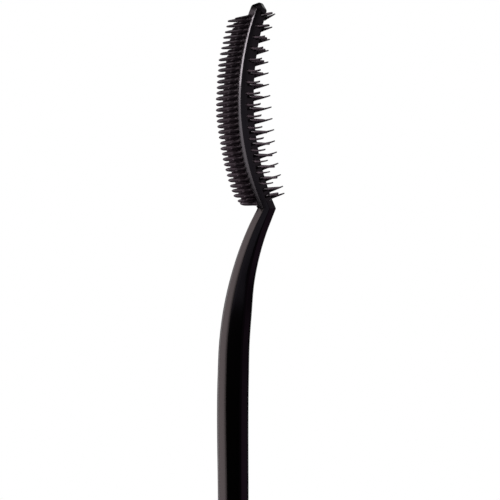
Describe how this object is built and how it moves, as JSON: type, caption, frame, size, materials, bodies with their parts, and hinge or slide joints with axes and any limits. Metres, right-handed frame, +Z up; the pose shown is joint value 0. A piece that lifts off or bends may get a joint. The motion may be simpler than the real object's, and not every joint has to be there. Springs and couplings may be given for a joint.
{
  "type": "lash-curling mascara wand",
  "caption": "Curved, faceted mascara applicator with a dense comb on its bulging side and lifting bristles on its hollow side, on a kneed swan-neck stem in a plain round cap.",
  "frame": {"origin": "centre of the cap's closed end, on its flat face, which the wand stands on", "axes": "+Z up the cap's axis towards the brush, +X towards the brush's hollow side (the way the swan neck leans below the knee), +Y completes the right-handed frame. The wand is mirror-symmetric about Y = 0"},
  "size_m": [0.0194, 0.0194, 0.1111],
  "materials": {
    "hard_black": "moulded gloss black",
    "soft_black": "satin black thermoplastic elastomer",
    "insert_black": "matte black polypropylene",
    "washer_grey": "fine closed-cell foam",
    "dark_metal": "dark anodised",
    "shell_black": "polished black",
    "weight_steel": "bare turned steel"
  },
  "bodies": {
    "root": {"head_core": "hard_black", "comb_strip": "soft_black", "lift_strip": "soft_black", "stem": "hard_black", "cap_insert": "insert_black", "seal_washer": "washer_grey", "collar_ring": "dark_metal", "cap_shell": "shell_black", "end_disc": "dark_metal", "cap_weight": "weight_steel"}
  },
  "joints": []
}
